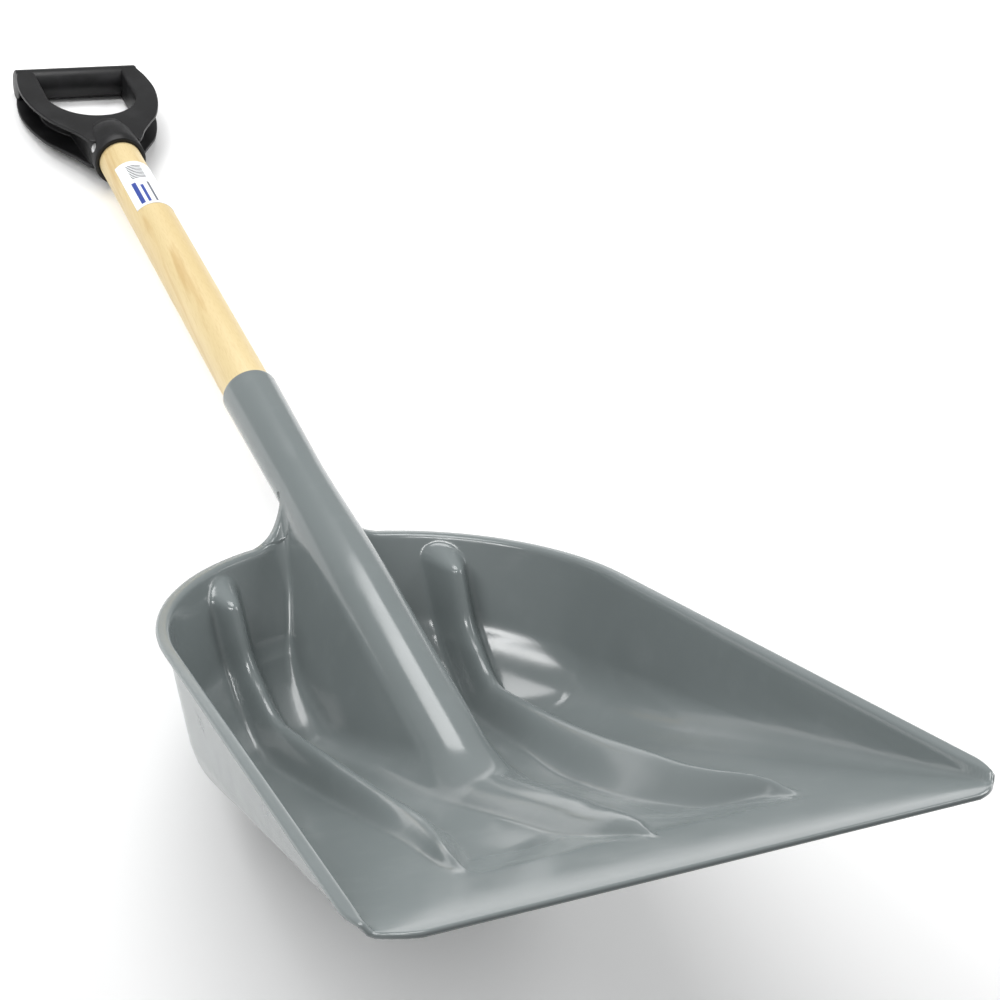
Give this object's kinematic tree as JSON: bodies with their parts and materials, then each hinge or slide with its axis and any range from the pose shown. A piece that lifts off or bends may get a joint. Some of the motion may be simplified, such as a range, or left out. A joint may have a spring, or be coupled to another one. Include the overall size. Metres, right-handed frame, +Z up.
{
  "type": "snow shovel",
  "caption": "Snow shovel: deep ribbed grey plastic scoop with a tube socket, wooden shaft and black plastic D-shaped hand grip.",
  "frame": {"origin": "on the ground, under the middle of the whole shovel's box, as it lies on its heel and hand bar", "axes": "+X across the scoop, +Y from the scoop's front edge towards the hand grip, +Z up"},
  "size_m": [0.337, 1.1424, 0.2972],
  "materials": {
    "scoop_plastic": "smooth glossy grey moulding",
    "shaft_wood": "pale clear-grained softwood, lightly lacquered",
    "grip_plastic": "black satin moulding",
    "steel": "zinc plated",
    "label_paper": "white printed sticker, plain bars only"
  },
  "bodies": {
    "root": {"scoop": "scoop_plastic", "shaft": "shaft_wood", "d_grip": "grip_plastic", "grip_pin": "steel", "socket_screw": "steel", "shaft_label": "label_paper"}
  },
  "joints": []
}
